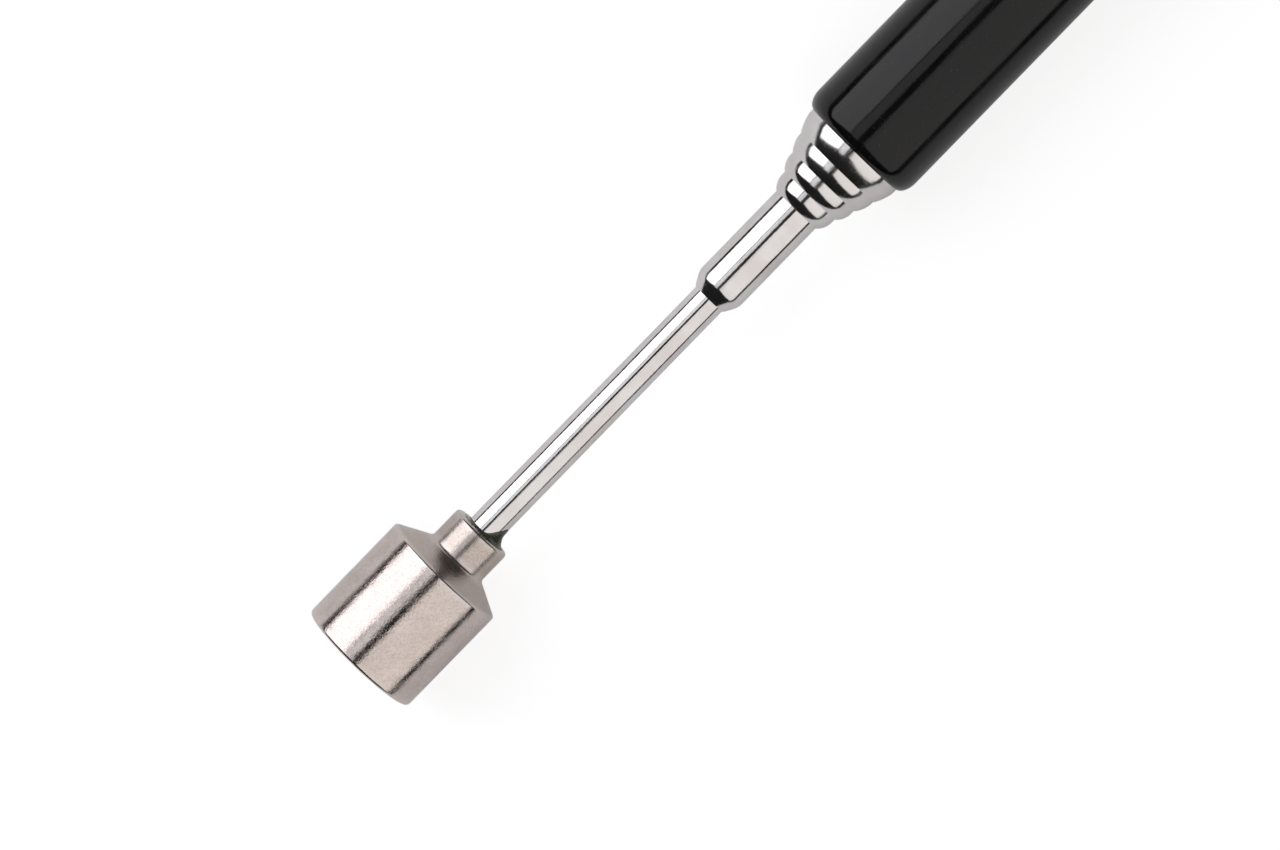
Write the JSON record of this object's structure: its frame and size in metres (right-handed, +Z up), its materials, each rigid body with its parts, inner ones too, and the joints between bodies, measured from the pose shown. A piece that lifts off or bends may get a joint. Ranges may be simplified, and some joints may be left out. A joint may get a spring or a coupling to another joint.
{
  "type": "telescopic magnetic pickup tool",
  "caption": "Telescopic magnetic pickup tool: magnet in a steel cup on a thin rod, nested chrome tubes that slide and turn, and a smooth black vinyl grip.",
  "frame": {"origin": "on the ground plane, under the middle of the tool's length as it lies in the stored pose", "axes": "+X along the tool from the magnet to the grip, +Z up from the ground that it lies on"},
  "size_m": [0.1774, 0.012, 0.0119],
  "materials": {
    "satin_nickel": "satin turned nickel plate, faint rings and scuffs",
    "ground_magnet": "ground face, fine parallel scratches",
    "brass": "turned brass",
    "bronze": "rolled phosphor bronze strip",
    "chrome_plate": "polished chrome with light sliding scratches",
    "bare_steel": "turned bare steel",
    "green_adhesive": "cured dark green thread and retaining adhesive, glossy and lumpy",
    "black_vinyl": "glossy dip-moulded black vinyl"
  },
  "bodies": {
    "handle": {"grip_sleeve": "black_vinyl", "section_6_tube": "chrome_plate", "rear_plug": "bare_steel"},
    "slider_5": {"friction_ring_5": "bronze"},
    "section_5": {"section_5_tube": "chrome_plate", "stop_bush_5": "brass"},
    "slider_4": {"friction_ring_4": "bronze"},
    "section_4": {"section_4_tube": "chrome_plate", "stop_bush_4": "brass"},
    "slider_3": {"friction_ring_3": "bronze"},
    "section_3": {"section_3_tube": "chrome_plate", "stop_bush_3": "brass"},
    "slider_2": {"friction_ring_2": "bronze"},
    "section_2": {"section_2_tube": "chrome_plate", "stop_bush_2": "brass"},
    "slider_1": {"friction_ring_1": "bronze"},
    "section_1": {"section_1_rod": "chrome_plate", "stop_bush_1": "brass", "adhesive_fillet": "green_adhesive", "magnet_cup": "satin_nickel", "magnet": "ground_magnet", "magnet_spacer_ring": "brass"}
  },
  "joints": [
    {"name": "section_5_slide", "type": "slide", "parent": "handle", "child": "slider_5", "axis": [-1, 0, 0], "range_m": [0, 0.1012]},
    {"name": "section_5_turn", "type": "hinge", "parent": "slider_5", "child": "section_5", "pos_m": [0, 0, 0.00595], "axis": [-1, 0, 0], "continuous": true},
    {"name": "section_4_slide", "type": "slide", "parent": "section_5", "child": "slider_4", "axis": [-1, 0, 0], "range_m": [0, 0.10292]},
    {"name": "section_4_turn", "type": "hinge", "parent": "slider_4", "child": "section_4", "pos_m": [0, 0, 0.00595], "axis": [-1, 0, 0], "continuous": true},
    {"name": "section_3_slide", "type": "slide", "parent": "section_4", "child": "slider_3", "axis": [-1, 0, 0], "range_m": [0, 0.10464]},
    {"name": "section_3_turn", "type": "hinge", "parent": "slider_3", "child": "section_3", "pos_m": [0, 0, 0.00595], "axis": [-1, 0, 0], "continuous": true},
    {"name": "section_2_slide", "type": "slide", "parent": "section_3", "child": "slider_2", "axis": [-1, 0, 0], "range_m": [-0.0092, 0.09716]},
    {"name": "section_2_turn", "type": "hinge", "parent": "slider_2", "child": "section_2", "pos_m": [0, 0, 0.00595], "axis": [-1, 0, 0], "continuous": true},
    {"name": "section_1_slide", "type": "slide", "parent": "section_2", "child": "slider_1", "axis": [-1, 0, 0], "range_m": [-0.02725, 0.08083]},
    {"name": "section_1_turn", "type": "hinge", "parent": "slider_1", "child": "section_1", "pos_m": [0, 0, 0.00595], "axis": [-1, 0, 0], "continuous": true}
  ]
}
